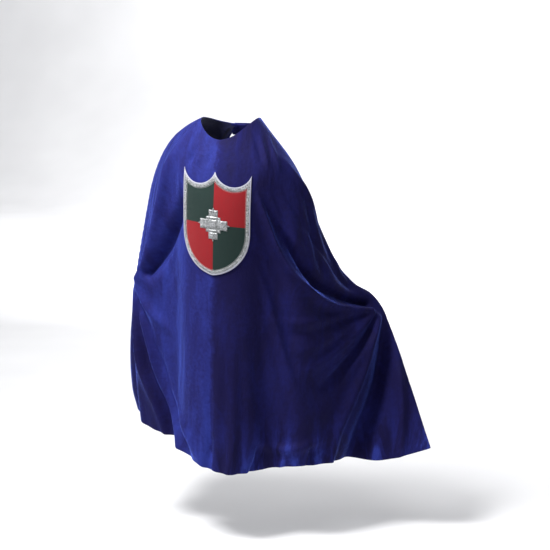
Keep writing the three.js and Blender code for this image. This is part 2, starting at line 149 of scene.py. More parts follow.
class Graph:
    """Short calls that add shader nodes to one material."""

    def __init__(self, tree):
        self.nodes, self.links = tree.nodes, tree.links

    def add(self, kind, inputs=None, **settings):
        node = self.nodes.new("ShaderNode" + kind)
        for key, value in settings.items():
            setattr(node, key, value)
        for key, value in (inputs or {}).items():
            self.set(node.inputs[key], value)
        return node

    def coordinates(self, scale=(1, 1, 1), kind="UV"):
        source = self.add("TexCoord").outputs[kind]
        return self.add("Mapping", {"Vector": source, "Scale": scale}).outputs["Vector"]

    def noise(self, vector, scale, detail=3.0, roughness=0.55, distortion=0.0):
        return self.add("TexNoise", {
            "Vector": vector, "Scale": scale, "Detail": detail, "Roughness": roughness,
            "Distortion": distortion,
        }).outputs["Fac"]

    def set(self, socket, value):
        if isinstance(value, bpy.types.NodeSocket):
            self.links.new(value, socket)
        else:
            socket.default_value = value

    def math(self, operation, a, b=0.0, c=0.0):
        node = self.add("Math", operation=operation)
        for socket, value in zip(node.inputs, (a, b, c)):
            self.set(socket, value)
        return node.outputs[0]

    def ramp(self, fac, stops):
        node = self.add("ValToRGB", {"Fac": fac})
        elements = node.color_ramp.elements
        while len(elements) < len(stops):
            elements.new(0.5)
        for element, (position, color) in zip(elements, stops):
            element.position = position
            element.color = (*color, 1)
        return node.outputs["Color"]

    def range(self, value, low, high, to_low=0.0, to_high=1.0):
        return self.add("MapRange", {
            "Value": value, "From Min": low, "From Max": high, "To Min": to_low, "To Max": to_high,
        }).outputs["Result"]

    def mix(self, fac, color, other):
        node = self.add("Mix", data_type="RGBA")
        for index, value in ((0, fac), (6, color), (7, (*other, 1))):
            self.set(node.inputs[index], value)
        return node.outputs[2]

    def bump(self, height, strength, distance, normal=None):
        inputs = {"Height": height, "Strength": strength, "Distance": distance}
        if normal is not None:
            inputs["Normal"] = normal
        return self.add("Bump", inputs).outputs["Normal"]

    def feed(self, shader, **sockets):
        for key, value in sockets.items():
            self.set(shader.inputs[key.replace("_", " ")], value)


def velour_material():
    """Short blue pile. Right of the centre back the pile lies the other way, and its colour is painted
    darker there: painted shade for that side turning from the light. A strip below the left hand is
    painted darker (painted shade), and the middle of the rolled hem is painted lighter (painted
    highlight where its pile catches the light). Brushed patches, crushed marks and fibre tips break up
    the colour."""
    material, shader, g = new_material("velour_blue")
    shader.inputs["Specular IOR Level"].default_value = 0.12
    shader.inputs["Sheen Weight"].default_value = 0.75
    shader.inputs["Sheen Roughness"].default_value = 0.22
    shader.inputs["Sheen Tint"].default_value = (0.13, 0.22, 1.0, 1)
    uv = g.coordinates()
    clouds = g.noise(g.coordinates((1, 0.6, 1)), 9, 3)
    brushed = g.noise(g.coordinates((1, 0.3, 1)), 36, 4, 0.62, 0.5)
    crushed = g.noise(uv, 150, 3, 0.6)
    fibre = g.noise(g.coordinates((1, 0.45, 1)), 2600, 3, 0.7)
    split = g.add("SeparateXYZ", {"Vector": uv})
    sideways, length = split.outputs["X"], split.outputs["Y"]
    wander = g.noise(g.coordinates((1, 0.8, 1)), 60, 5, 0.75)
    ragged = g.math("ADD", sideways, g.math("MULTIPLY_ADD", wander, 0.03, -0.015))
    # Painted shade: 0 left of the centre back, 1 right of it, where the colour is made darker for that
    # side turning from the light.
    painted_nap_shade = g.range(ragged, -0.006, 0.006)
    # Painted shade: a slanted strip below the left hand, made darker where that cloth turns from the
    # light.
    slanted = g.math("ADD", ragged, g.math("MULTIPLY", length, 0.39))
    painted_shade_strip = g.math("MULTIPLY", g.range(slanted, -0.345, -0.385), g.range(length, -0.335, -0.40))
    # Painted highlight: the middle of the rolled hem, made lighter where its pile catches the light.
    painted_hem_highlight = g.math("MULTIPLY", g.range(length, -0.535, -0.61),
                      g.math("MULTIPLY", g.range(brushed, 0.4, 0.62), g.range(sideways, -0.08, 0.03)))
    tone = g.math("MULTIPLY_ADD", clouds, 0.6, -0.21)
    # Besides random tone, the layers hold painted shade (right of the centre back, the strip below the
    # left hand) and a painted highlight (the hem).
    for layer, share in ((brushed, 0.62), (crushed, 0.30), (painted_nap_shade, -0.42), (painted_shade_strip, -0.40),
                         (painted_hem_highlight, 0.55)):
        tone = g.math("MULTIPLY_ADD", layer, share, tone)
    color = g.ramp(tone, [(0.08, (0.006, 0.004, 0.045)), (0.46, (0.014, 0.016, 0.135)),
                          (0.76, (0.030, 0.046, 0.31))])
    shade = g.range(fibre, 0.35, 0.65, 0.0, 0.6)
    color = g.mix(shade, color, (0.005, 0.005, 0.05))
    roughness = g.range(brushed, 0.3, 0.7, 0.68, 0.86)
    relief = g.bump(brushed, 0.6, 0.004)
    relief = g.bump(crushed, 0.5, 0.0009, relief)
    relief = g.bump(fibre, 0.9, 0.0005, relief)
    g.feed(shader, Base_Color=color, Roughness=roughness, Normal=relief)
    return material


def woven_material(name, dark, light, roughness, pitch, sheen=0.0, wear=0.25, gloss=0.2):
    """A plain or satin weave: two crossing thread waves, thread colour variation and soiling."""
    material, shader, g = new_material(name)
    shader.inputs["Sheen Weight"].default_value = sheen
    shader.inputs["Specular IOR Level"].default_value = gloss
    uv = g.coordinates()
    split = g.add("SeparateXYZ", {"Vector": uv})
    turns = math.tau / pitch
    warp = g.math("SINE", g.math("MULTIPLY", split.outputs["X"], turns))
    weft = g.math("SINE", g.math("MULTIPLY", split.outputs["Y"], turns * 0.9))
    weave = g.math("MULTIPLY", warp, weft)
    slub = g.noise(g.coordinates((1, 0.12, 1)), 420, 2)
    patches = g.noise(uv, 26, 4)
    tone = g.math("MULTIPLY_ADD", weave, 0.10, 0.10)
    tone = g.math("MULTIPLY_ADD", slub, 0.45, tone)
    tone = g.math("MULTIPLY_ADD", patches, wear, tone)
    color = g.ramp(tone, [(0.15, dark), (0.75, light)])
    g.feed(shader, Base_Color=color,
           Roughness=g.range(slub, 0.3, 0.7, roughness - 0.07, roughness + 0.08),
           Normal=g.bump(g.math("ADD", weave, slub), 0.4, 0.0003))
    return material


def glitter_material(name, dark, light):
    """Metal-flake fabric: every flake has its own tilt and brightness."""
    material, shader, g = new_material(name)
    shader.inputs["Metallic"].default_value = 0.55
    shader.inputs["Coat Weight"].default_value = 0.25
    uv = g.coordinates(kind="Object")
    cells = g.add("TexVoronoi", {"Vector": uv, "Scale": 1500})
    shade = g.add("SeparateColor", {"Color": cells.outputs["Color"]}).outputs["Red"]
    cloud = g.noise(uv, 130, 4, 0.7)
    tone = g.math("MULTIPLY_ADD", shade, 0.6, g.math("MULTIPLY", cloud, 0.5))
    color = g.ramp(tone, [(0.16, dark), (0.55, light), (0.92, (0.75, 0.76, 0.8))])
    g.feed(shader, Base_Color=color, Roughness=g.range(shade, 0, 1, 0.22, 0.5),
           Normal=g.bump(shade, 0.8, 0.0006))
    return material


def thread_material(name, color):
    """Twisted sewing thread."""
    material, shader, g = new_material(name)
    shader.inputs["Sheen Weight"].default_value = 0.2
    wave = g.add("TexWave", {"Vector": g.coordinates(kind="Object"), "Scale": 900, "Distortion": 1.5})
    dark = tuple(0.55 * c for c in color)
    g.feed(shader, Base_Color=g.ramp(wave.outputs["Fac"], [(0.1, dark), (0.8, color)]),
           Roughness=g.range(wave.outputs["Fac"], 0, 1, 0.5, 0.7),
           Normal=g.bump(wave.outputs["Fac"], 0.5, 0.0002))
    return material


def floor_material():
    material, shader, g = new_material("floor_paint")
    fine = g.noise(g.coordinates(kind="Object"), 2.0, 2)
    g.feed(shader, Base_Color=g.ramp(fine, [(0.3, (0.80, 0.80, 0.81)), (0.7, (0.86, 0.86, 0.87))]),
           Roughness=g.range(fine, 0, 1, 0.85, 0.95))
    return material


# ------------------------------------------------------------------ the cloth surface from the frame

SHELLS = ("shell_left_back", "shell_right_back", "shell_left_wing", "shell_right_wing")
WIDEST_SLOT = 4.4 * MM
FLAT_ANGLE = math.radians(50)


def outer_skin(name, backing):
    """The outward faces of a CAD sheet: the flood-filled region that lies away from its backing."""
    bm = bmesh.new()
    bm.from_mesh(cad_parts[name].data)
    bmesh.ops.remove_doubles(bm, verts=bm.verts, dist=0.01 * MM)
    bm.faces.ensure_lookup_table()
    bm.normal_update()
    under = np.array([v.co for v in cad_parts[backing].data.vertices])
    region = {}
    regions = []
    for seed in bm.faces:
        if seed in region:
            continue
        stack, members = [seed], []
        region[seed] = len(regions)
        while stack:
            face = stack.pop()
            members.append(face)
            for edge in face.edges:
                if edge.calc_face_angle(math.pi) > FLAT_ANGLE:
                    continue
                for other in edge.link_faces:
                    if other not in region:
                        region[other] = len(regions)
                        stack.append(other)
        regions.append(members)
    regions.sort(key=len, reverse=True)

    def lift(members):
        total = 0
        for face in members[::7]:
            centre = np.array(face.calc_center_median())
            near = under[np.argmin(((under - centre) ** 2).sum(1))]
            total += float((centre - near) @ np.array(face.normal))
        return total

    outer = max(regions[:2], key=lift)
    triangles = [[tuple(v.co) for v in face.verts] for face in outer]
    bm.free()
    return np.array(triangles)


def welded(skins):
    """One set of points and faces from several skins. Points of two skins that are each
    other's nearest, closer than the widest slot, become one point at their middle."""
    places, faces, owners = [], [], []
    for k, triangles in enumerate(skins):
        points, index = np.unique(np.round(triangles.reshape(-1, 3), 6), axis=0, return_inverse=True)
        faces.append(index.reshape(-1, 3) + sum(len(p) for p in places))
        places.append(points)
        owners.append(np.full(len(points), k))
    places, faces, owners = map(np.concatenate, (places, faces, owners))
    gaps = np.linalg.norm(places[:, None] - places[None], axis=-1)
    gaps[owners[:, None] == owners[None]] = 1
    nearest = gaps.argmin(1)
    label = np.arange(len(places))
    for k, other in enumerate(nearest):
        if nearest[other] == k and k < other and gaps[k, other] < WIDEST_SLOT:
            label[other] = k
            places[k] = (places[k] + places[other]) / 2
    return places, label[faces]


def ordered_grid(places, faces):
    """Rows and columns of a triangulated rectangle of cells: grid[column][row] of points,
    from the left front edge to the right one and from the neckline to the hem."""
    third = {}
    neighbours = {}
    for a, b, c in faces.tolist():
        for p, q, r in ((a, b, c), (b, c, a), (c, a, b)):
            third.setdefault(frozenset((p, q)), []).append(r)
            neighbours.setdefault(p, set()).update((q, r))
    border = {}
    for edge, tips in third.items():
        if len(tips) == 1:
            p, q = edge
            border.setdefault(p, []).append(q)
            border.setdefault(q, []).append(p)
    corners = [p for p in border if len(neighbours[p]) <= 3]
    corners.sort(key=lambda p: -places[p][2])
    left, right = sorted(corners[:2], key=lambda p: places[p][0])

    def walk(start, step):
        path = [start, step]
        while path[-1] not in corners:
            path.append(next(p for p in border[path[-1]] if p != path[-2]))
        return path

    first, second = (walk(left, step) for step in border[left])
    row, column = (first, second) if first[-1] == right else (second, first)
    rows = [row]
    for level in range(1, len(column)):
        above = rows[-1]
        below = [column[level]]
        for k in range(len(above) - 1):
            a, b, d = above[k], below[-1], above[k + 1]
            behind = (above[k - 1], below[-2]) if k else ()
            tip = next(p for p in third[frozenset((a, b))] if p not in behind)
            if tip == d:
                tip = next(p for p in third[frozenset((b, d))] if p != a)
            below.append(tip)
        rows.append(below)
    return places[np.array(rows)].transpose(1, 0, 2)


def catmull(points, at):
    """Catmull-Rom through points (along axis 0) at the given fractional indices."""
    last = len(points) - 1
    k = np.clip(np.floor(at).astype(int), 0, last - 1)
    f = (at - k).reshape(-1, *([1] * (points.ndim - 1)))
    p1, p2 = points[k], points[k + 1]
    before = (k > 0).reshape(f.shape)
    after = (k < last - 1).reshape(f.shape)
    p0 = np.where(before, points[np.maximum(k - 1, 0)], 2 * p1 - p2)
    p3 = np.where(after, points[np.minimum(k + 2, last)], 2 * p2 - p1)
    return 0.5 * (2 * p1 + (p2 - p0) * f + (2 * p0 - 5 * p1 + 4 * p2 - p3) * f ** 2
                  + (3 * p1 - p0 - 3 * p2 + p3) * f ** 3)


def evenly(grid, count, axis):
    """Fractional indices that cut the mean length of the grid's lines into equal steps."""
    lines = np.moveaxis(grid, axis, 0)
    steps = np.linalg.norm(np.diff(lines, axis=0), axis=-1).mean(1)
    along = np.concatenate([[0], np.cumsum(steps)])
    return np.interp(np.linspace(0, along[-1], count + 1), along, np.arange(len(along)))


CELLS_ACROSS = 240
CELLS_DOWN = 156
CENTRE = CELLS_ACROSS // 2


def cloth_base():
    skins = [outer_skin(name, name.replace("shell", "lining")) for name in SHELLS]
    coarse = ordered_grid(*welded(skins))
    middle = int(np.argmin(np.abs(coarse[:, -1, 0])))
    left = evenly(coarse[:middle + 1], CENTRE, 0)
    right = middle + evenly(coarse[middle:], CENTRE, 0)
    columns = catmull(coarse, np.concatenate([left, right[1:]]))
    rows = evenly(columns, CELLS_DOWN, 1)
    return catmull(columns.transpose(1, 0, 2), rows).transpose(1, 0, 2)


def grid_normals(points):
    across = np.gradient(points, axis=0)
    down = np.gradient(points, axis=1)
    normal = np.cross(down, across)
    return normal / np.linalg.norm(normal, axis=-1, keepdims=True)


# ------------------------------------------------------------------ folds

# Each fold: points on the cloth as shares of its width and length, height and half width in mm
# (a negative height is a valley), how much wider it ends than it starts, its strength at both
# ends, and how much wider its first side is than its second.
FOLDS = [
    # over the left arm, and the hollow beside it
    ([(.33, .05), (.325, .14), (.30, .243), (.276, .345), (.255, .442), (.236, .526)],
     11, 26, 0.6, 0.2, 0.7, 0.0),
    ([(.41, .17), (.397, .251), (.335, .351), (.302, .423), (.262, .50)], -15, 21, 0.5, 0.1, 0.9, 0.2),
    ([(.37, .10), (.385, .18), (.375, .26)], 3, 8, 1.0, 0.0, 0.0, 0.0),
    # from the left hand down to the hem
    ([(.236, .56), (.263, .603), (.30, .645), (.35, .69)], 6, 7, 1.8, 0.9, 0.0, 0.2),
    ([(.235, .575), (.262, .635), (.292, .70)], -6, 6, 1.4, 0.9, 0.0, 0.0),
    ([(.226, .60), (.242, .70), (.257, .80), (.29, .93), (.31, 1.)], 9, 8, 1.8, 0.6, 1.0, -0.1),
    ([(.234, .61), (.256, .71), (.277, .80), (.318, .943), (.345, 1.)], -9, 8, 1.9, 0.7, 1.0, 0.0),
    ([(.252, .64), (.274, .72), (.298, .844), (.353, .95), (.385, 1.)], 8, 8, 1.9, 0.5, 0.9, 0.1),
    ([(.27, .68), (.30, .76), (.335, .872), (.405, .97), (.425, 1.)], -7, 8, 2.0, 0.4, 0.8, 0.0),
    ([(.29, .74), (.32, .83), (.365, .90), (.43, .95), (.475, 1.)], 6, 9, 1.8, 0.2, 0.8, 0.2),
    # over the right shoulder and arm
    ([(.72, .13), (.77, .19), (.82, .235), (.872, .295), (.915, .362), (.95, .43)],
     5, 9, 1.2, 0.2, 0.5, 0.3),
    ([(.70, .22), (.75, .30), (.81, .37), (.87, .44), (.93, .51)], -5, 10, 1.0, 0.1, 0.6, 0.0),
    ([(.655, .22), (.685, .30), (.725, .37), (.80, .43)], 4, 8, 1.2, 0.0, 0.0, -0.2),
    ([(.696, .05), (.672, .099), (.66, .155)], 2.4, 5, 1.2, 0.2, 0.0, 0.0),
    ([(.726, .07), (.705, .121), (.70, .178)], 2.6, 5, 1.3, 0.2, 0.0, 0.0),
    ([(.675, .03), (.655, .08), (.645, .13)], -1.8, 5, 1.2, 0.2, 0.0, 0.0),
    # the pull from the shield to the right hand, and the hollow above it
    ([(.618, .22), (.655, .32), (.69, .405), (.745, .494), (.835, .562), (.95, .59)],
     14, 7, 0.9, 0.1, 0.8, -0.35),
    ([(.66, .27), (.70, .36), (.74, .432), (.79, .495), (.85, .532), (.95, .572)],
     -14, 12, 0.7, 0.1, 0.8, 0.2),
    # drag lines and rays from the right hand
    ([(.95, .59), (.88, .598), (.80, .606), (.70, .612), (.59, .615)], 3.5, 6, 1.6, 0.7, 0.0, 0.0),
    ([(.95, .595), (.88, .613), (.80, .632), (.72, .646), (.63, .66)], -3, 6, 1.7, 0.7, 0.0, 0.0),
    ([(.95, .60), (.89, .627), (.83, .655), (.77, .68), (.70, .70)], 3.5, 7, 1.7, 0.6, 0.0, 0.0),
    ([(.955, .605), (.91, .637), (.869, .668), (.80, .725), (.74, .76)], 6, 8, 1.6, 0.7, 0.0, 0.1),
    ([(.96, .61), (.925, .66), (.88, .715), (.83, .77), (.79, .81)], -6, 8, 1.7, 0.7, 0.0, 0.0),
    ([(.965, .612), (.94, .66), (.909, .70), (.87, .76), (.845, .80)], 7, 7, 1.5, 0.7, 0.1, 0.0),
    # the flare below the right hand
    ([(.972, .615), (.945, .66), (.92, .71), (.893, .78), (.865, .85), (.837, .925), (.82, 1.)],
     8, 9, 1.5, 0.6, 1.0, -0.3),
    ([(.985, .63), (.965, .70), (.94, .78), (.915, .85), (.89, .92), (.872, 1.)],
     -24, 17, 1.8, 0.2, 1.0, 0.0),
    ([(.995, .68), (.985, .76), (.975, .84), (.965, .92), (.955, 1.)], 7, 9, 1.2, 0.0, 0.8, 0.0),
    # soft folds beside and below the shield
    ([(.448, .36), (.440, .42), (.441, .48)], -3.5, 4, 1.2, 0.1, 0.1, 0.0),
    ([(.437, .35), (.428, .42), (.430, .49)], 3, 4, 1.3, 0.0, 0.0, 0.0),
    ([(.44, .06), (.437, .10), (.44, .14)], 2.2, 5, 1.3, 0.4, 0.1, 0.0),
    ([(.475, .05), (.47, .10), (.478, .14)], -1.8, 5, 1.2, 0.4, 0.1, 0.0),
    ([(.40, .06), (.405, .12), (.41, .19)], -3, 6, 1.3, 0.4, 0.1, 0.0),
    # rolls near the hem
    ([(.60, .90), (.645, .937), (.70, .955), (.76, .95), (.815, .93)], 6, 9, 1.0, 0.1, 0.2, 0.1),
    ([(.55, 1.), (.56, .96), (.565, .91)], 4, 12, 0.8, 1.0, 0.0, 0.0),
    ([(.62, 1.), (.635, .97), (.64, .93)], -5, 11, 0.7, 1.0, 0.0, 0.0),
    ([(.70, 1.), (.71, .975), (.70, .94)], 5, 12, 0.8, 1.0, 0.0, 0.0),
    ([(.765, 1.), (.775, .97), (.77, .94)], -5, 11, 0.8, 1.0, 0.0, 0.0),
    ([(.49, 1.), (.495, .95), (.49, .89)], -4, 13, 0.8, 1.0, 0.0, 0.0),
    # the front edges on the unseen side
    ([(.17, .10), (.13, .30), (.10, .55), (.08, .80), (.07, 1.)], 7, 15, 1.4, 0.2, 1.0, 0.0),
    ([(.22, .20), (.19, .40), (.165, .62), (.15, .82), (.14, 1.)], -8, 14, 1.5, 0.1, 1.0, 0.0),
    ([(.06, .12), (.04, .35), (.03, .60), (.025, .80), (.02, 1.)], -5, 11, 1.3, 0.2, 1.0, 0.0),
]


def on_cloth(grid, u, v):
    """Points of a grid at shares u of its width and v of its length."""
    nu, nv = grid.shape[:2]
    x, y = np.clip(u, 0, 1) * (nu - 1), np.clip(v, 0, 1) * (nv - 1)
    i = np.minimum(x.astype(int), nu - 2)
    j = np.minimum(y.astype(int), nv - 2)
    fx, fy = (x - i)[..., None], (y - j)[..., None]
    top = grid[i, j] * (1 - fx) + grid[i + 1, j] * fx
    low = grid[i, j + 1] * (1 - fx) + grid[i + 1, j + 1] * fx
    return top * (1 - fy) + low * fy


FOLD_STEPS = 48
FOLD_GAIN = 1.7
FOLD_REACH = 3.2
FOLD_FADE = 0.35


def add_folds(points, normals, calm):
    """Moves the cloth along its normals by every fold, less where calm is near 1."""
    flat = points.reshape(-1, 3)
    lift = np.zeros(len(flat))
    for line, height, width, growth, fade_in, fade_out, skew in FOLDS:
        at = np.linspace(0, len(line) - 1, FOLD_STEPS)
        path = catmull(np.array(line, float), at)
        spine = on_cloth(points, path[:, 0], path[:, 1])
        along = np.gradient(spine, axis=0)
        along /= np.linalg.norm(along, axis=1, keepdims=True)
        side = np.cross(on_cloth(normals, path[:, 0], path[:, 1]), along)
        reach = FOLD_REACH * width * MM * max(1, growth)
        low, high = spine.min(0) - reach, spine.max(0) + reach
        close = np.flatnonzero(((flat > low) & (flat < high)).all(1))
        offset = flat[close][:, None] - spine[None]
        distance = np.linalg.norm(offset, axis=2)
        k = distance.argmin(1)
        share = k / (FOLD_STEPS - 1)
        distance = distance[np.arange(len(close)), k]
        across = (offset[np.arange(len(close)), k] * side[k]).sum(1)
        lean = skew * np.sign(across) * np.minimum(np.abs(across) / (width * MM), 1)
        x = distance / (width * MM * (1 + (growth - 1) * share) * (1 + lean))
        crest = 0.62 * np.exp(-x ** 2) + 0.38 * np.exp(-(x / 0.5) ** 2)
        start = np.minimum(share / FOLD_FADE, 1)
        end = np.minimum((1 - share) / FOLD_FADE, 1)
        strength = (fade_in + (1 - fade_in) * start) * (fade_out + (1 - fade_out) * end)
        lift[close] += FOLD_GAIN * height * MM * crest * strength
    lift = lift.reshape(points.shape[:2]) * (1 - calm)
    return points + normals * lift[..., None]


def smoothstep(x, low, high):
    t = np.clip((x - low) / (high - low), 0, 1)
    return t * t * (3 - 2 * t)


def smoothed(field, passes):
    """A grid averaged with its neighbours, edges included."""
    for _ in range(passes):
        padded = np.pad(field, ((1, 1), (1, 1)) + ((0, 0),) * (field.ndim - 2), mode="reflect",
                        reflect_type="odd")
        field = (padded[1:-1, 1:-1] * 4 + padded[:-2, 1:-1] + padded[2:, 1:-1]
                 + padded[1:-1, :-2] + padded[1:-1, 2:]) / 8
    return field


# ------------------------------------------------------------------ cloth simulation

SIM_STRIDE = 2
SIM_FRAMES = 26
SIM_CAP = 14 * MM
SIM_SETTINGS = {
    "quality": 7, "mass": 0.25, "air_damping": 1.0, "tension_stiffness": 14,
    "compression_stiffness": 14, "shear_stiffness": 6, "bending_stiffness": 1.0,
    "vertex_group_mass": "hold", "pin_stiffness": 1.0, "shrink_min": -0.02,
}
# Where the hands grip the cloth, as shares of its width and length, and its size in metres.
GRIPS = ((0.232, 0.555), (0.972, 0.60))
CLOTH_SIZE = (0.93, 0.62)


def hold_weights(u, v, calm):
    """How firmly each point is held: the yoke, the grips, the middle of the back, the lower
    right front edge and the patch are firmer than the rest."""
    hold = 0.14 + 0.5 * (1 - smoothstep(v, 0.12, 0.34)) + 0.5 * (1 - smoothstep(v, 0.01, 0.12))
    for grip_u, grip_v in GRIPS:
        away = np.hypot((u - grip_u) * CLOTH_SIZE[0], (v - grip_v) * CLOTH_SIZE[1])
        hold += 1 - smoothstep(away, 0.012, 0.035)
    hold += 0.3 * (1 - smoothstep(np.abs(u - 0.5), 0.10, 0.2)) * (1 - smoothstep(v, 0.55, 0.85))
    hold += 0.35 * smoothstep(u, 0.93, 0.985) * smoothstep(v, 0.45, 0.6)
    return np.maximum(np.clip(hold, 0, 1), 0.9 * calm)


def settled(points, calm):
    """The cloth after a short simulation: a little surplus cloth buckles into soft wrinkles
    under gravity, while springs hold it near its drape. No point moves past SIM_CAP."""
    coarse = points[::SIM_STRIDE, ::SIM_STRIDE]
    nu, nv = coarse.shape[:2]
    index = np.arange(nu * nv).reshape(nu, nv)
    faces = grid_faces(index)
    sheet = link_mesh("sim_cloth", coarse.reshape(-1, 3), faces, None)
    u, v = np.meshgrid(np.linspace(0, 1, nu), np.linspace(0, 1, nv), indexing="ij")
    calm = calm[::SIM_STRIDE, ::SIM_STRIDE]
    group = sheet.vertex_groups.new(name="hold")
    for k, weight in enumerate(hold_weights(u, v, calm).ravel()):
        group.add([k], float(weight), "REPLACE")
    modifier = sheet.modifiers.new("cloth", "CLOTH")
    for key, value in SIM_SETTINGS.items():
        setattr(modifier.settings, key, value)
    modifier.collision_settings.use_collision = False
    modifier.collision_settings.use_self_collision = False
    modifier.point_cache.frame_start = 1
    modifier.point_cache.frame_end = SIM_FRAMES
    scene = bpy.context.scene
    for frame_number in range(1, SIM_FRAMES + 1):
        scene.frame_set(frame_number)
    shown = sheet.evaluated_get(bpy.context.evaluated_depsgraph_get()).to_mesh()
    moved = np.zeros(nu * nv * 3, np.float32)
    shown.vertices.foreach_get("co", moved)
    shift = moved.reshape(nu, nv, 3) - coarse
    bpy.data.objects.remove(sheet)
    scene.frame_set(1)
    size = np.linalg.norm(shift, axis=-1, keepdims=True)
    shift = shift * np.minimum(1, SIM_CAP / np.maximum(size, 1e-9))
    shift = smoothed(shift, 3) * (1 - calm[..., None])
    at_u = np.arange(points.shape[0]) / SIM_STRIDE
    at_v = np.arange(points.shape[1]) / SIM_STRIDE
    fine = catmull(shift, at_u)
    return points + catmull(fine.transpose(1, 0, 2), at_v).transpose(1, 0, 2)


# ------------------------------------------------------------------ shield patch

SHIELD_WIDTH = 138 * MM
SHIELD_HEIGHT = 190 * MM
SHIELD_TOP = -99 * MM
SHIELD_SIDE = 110 * MM
SCOOP_DEPTH = 24 * MM
DIVISION = 96 * MM
SHIELD_SKEW = 0.1
BORDER_WIDTH = 8 * MM
SHIELD_SPAN = 60


class ShieldMap:
    """Finds the cloth under patch coordinates: metres sideways from the centre back along a
    level curve, and metres down from the tips."""

    def __init__(self, points, normals):
        self.normals = normals
        self.points = points
        self.columns = np.arange(CENTRE - SHIELD_SPAN, CENTRE + SHIELD_SPAN + 1)

    def at(self, sideways, down, lift):
        sideways, down = np.asarray(sideways, float), np.asarray(down, float)
        shape = sideways.shape
        s, level = sideways.ravel(), SHIELD_TOP - down.ravel() - sideways.ravel() * SHIELD_SKEW
        rows = np.arange(self.points.shape[1])
        at_row = np.stack([
            np.interp(-level, -self.points[c, :, 2], rows) for c in self.columns], axis=1)
        j = np.clip(at_row.astype(int), 0, len(rows) - 2)
        f = (at_row - j)[..., None]
        c = self.columns[None, :]
        curve = self.points[c, j] * (1 - f) + self.points[c, j + 1] * f
        normal = self.normals[c, j] * (1 - f) + self.normals[c, j + 1] * f
        step = np.linalg.norm(np.diff(curve, axis=1), axis=2)
        run = np.concatenate([np.zeros((len(s), 1)), np.cumsum(step, axis=1)], axis=1)
        run -= run[:, SHIELD_SPAN:SHIELD_SPAN + 1]
        k = np.clip((run < s[:, None]).sum(1) - 1, 0, len(self.columns) - 2)
        n = np.arange(len(s))
        g = ((s - run[n, k]) / (run[n, k + 1] - run[n, k]))[:, None]
        place = curve[n, k] * (1 - g) + curve[n, k + 1] * g
        out = normal[n, k] * (1 - g) + normal[n, k + 1] * g
        out /= np.linalg.norm(out, axis=1, keepdims=True)
        lift = np.broadcast_to(lift, shape).ravel()[:, None]
        return (place + out * lift).reshape(*shape, 3)


def shield_outline(inset):
    """The patch outline at an inset: its half width, and its upper and lower edge over s."""
    half = SHIELD_WIDTH / 2
    low = SHIELD_HEIGHT - SHIELD_SIDE
    low_radius = (half ** 2 + low ** 2) / (2 * half)
    low_centre = half - low_radius
    scoop_radius = ((half / 2) ** 2 + SCOOP_DEPTH ** 2) / (2 * SCOOP_DEPTH)
    scoop_centre = SCOOP_DEPTH - scoop_radius

    def bottom(s):
        return SHIELD_SIDE + np.sqrt(
            np.maximum((low_radius - inset) ** 2 - (np.abs(s) - low_centre) ** 2, 0))

    def top(s):
        return scoop_centre + np.sqrt(
            np.maximum((scoop_radius + inset) ** 2 - (np.abs(s) - half / 2) ** 2, 0))

    return half - inset, top, bottom


OUTLINE_STEPS = 44


def outline_loop(inset):
    """Points round the patch, clockwise from the middle top tip, the same count at any inset."""
    side, top, bottom = shield_outline(inset)
    s = side * eased_shares(OUTLINE_STEPS)
    scoop = np.stack([s, top(s)], 1)
    edge_h = np.linspace(top(side), SHIELD_SIDE, OUTLINE_STEPS + 1)[1:]
    edge = np.stack([np.full(OUTLINE_STEPS, side), edge_h], 1)
    point = np.stack([s, bottom(s)], 1)[::-1][1:]
    right = np.concatenate([scoop, edge, point])
    left = right[1:-1][::-1] * (-1, 1)
    return np.concatenate([right, left])


# ------------------------------------------------------------------ meshes


def link_mesh(name, vertices, faces, material, uv=None, sharp=()):
    mesh = bpy.data.meshes.new(name)
    mesh.from_pydata(np.asarray(vertices).tolist(), [], [tuple(int(k) for k in f) for f in faces])
    if material is not None:
        mesh.materials.append(material)
    mesh.polygons.foreach_set("use_smooth", [True] * len(mesh.polygons))
    if uv is not None:
        layer = mesh.uv_layers.new(name="cloth")
        loops = np.zeros(len(mesh.loops), int)
        mesh.loops.foreach_get("vertex_index", loops)
        layer.data.foreach_set("uv", np.asarray(uv, float)[loops].ravel())
    if len(sharp):
        keys = {frozenset(pair) for pair in sharp}
        for edge in mesh.edges:
            edge.use_edge_sharp = frozenset(edge.vertices) in keys
    piece = bpy.data.objects.new(name, mesh)
    bpy.context.scene.collection.objects.link(piece)
    return piece


def round_pairs(count):
    """Each index of a closed ring with the next one."""
    return [(k, (k + 1) % count) for k in range(count)]


def tube_faces(first, rings, size):
    """Quads between the rings of a tube, whose vertices start at index first."""
    return [(first + r * size + k, first + r * size + m,
             first + (r + 1) * size + m, first + (r + 1) * size + k)
            for r in range(rings - 1) for k, m in round_pairs(size)]


def grid_faces(index):
    """Quads over a grid of vertex indices."""
    corners = index[:-1, :-1], index[:-1, 1:], index[1:, 1:], index[1:, :-1]
    return np.stack(corners, -1).reshape(-1, 4)


def rim_of(nu, nv):
    """Indices round the edge of a grid."""
    return ([(i, 0) for i in range(nu)] + [(nu - 1, j) for j in range(1, nv)]
            + [(i, nv - 1) for i in range(nu - 2, -1, -1)] + [(0, j) for j in range(nv - 2, 0, -1)])


RIM_TURNS = [math.radians(turn) for turn in (25, 62, 90, 118, 155)]


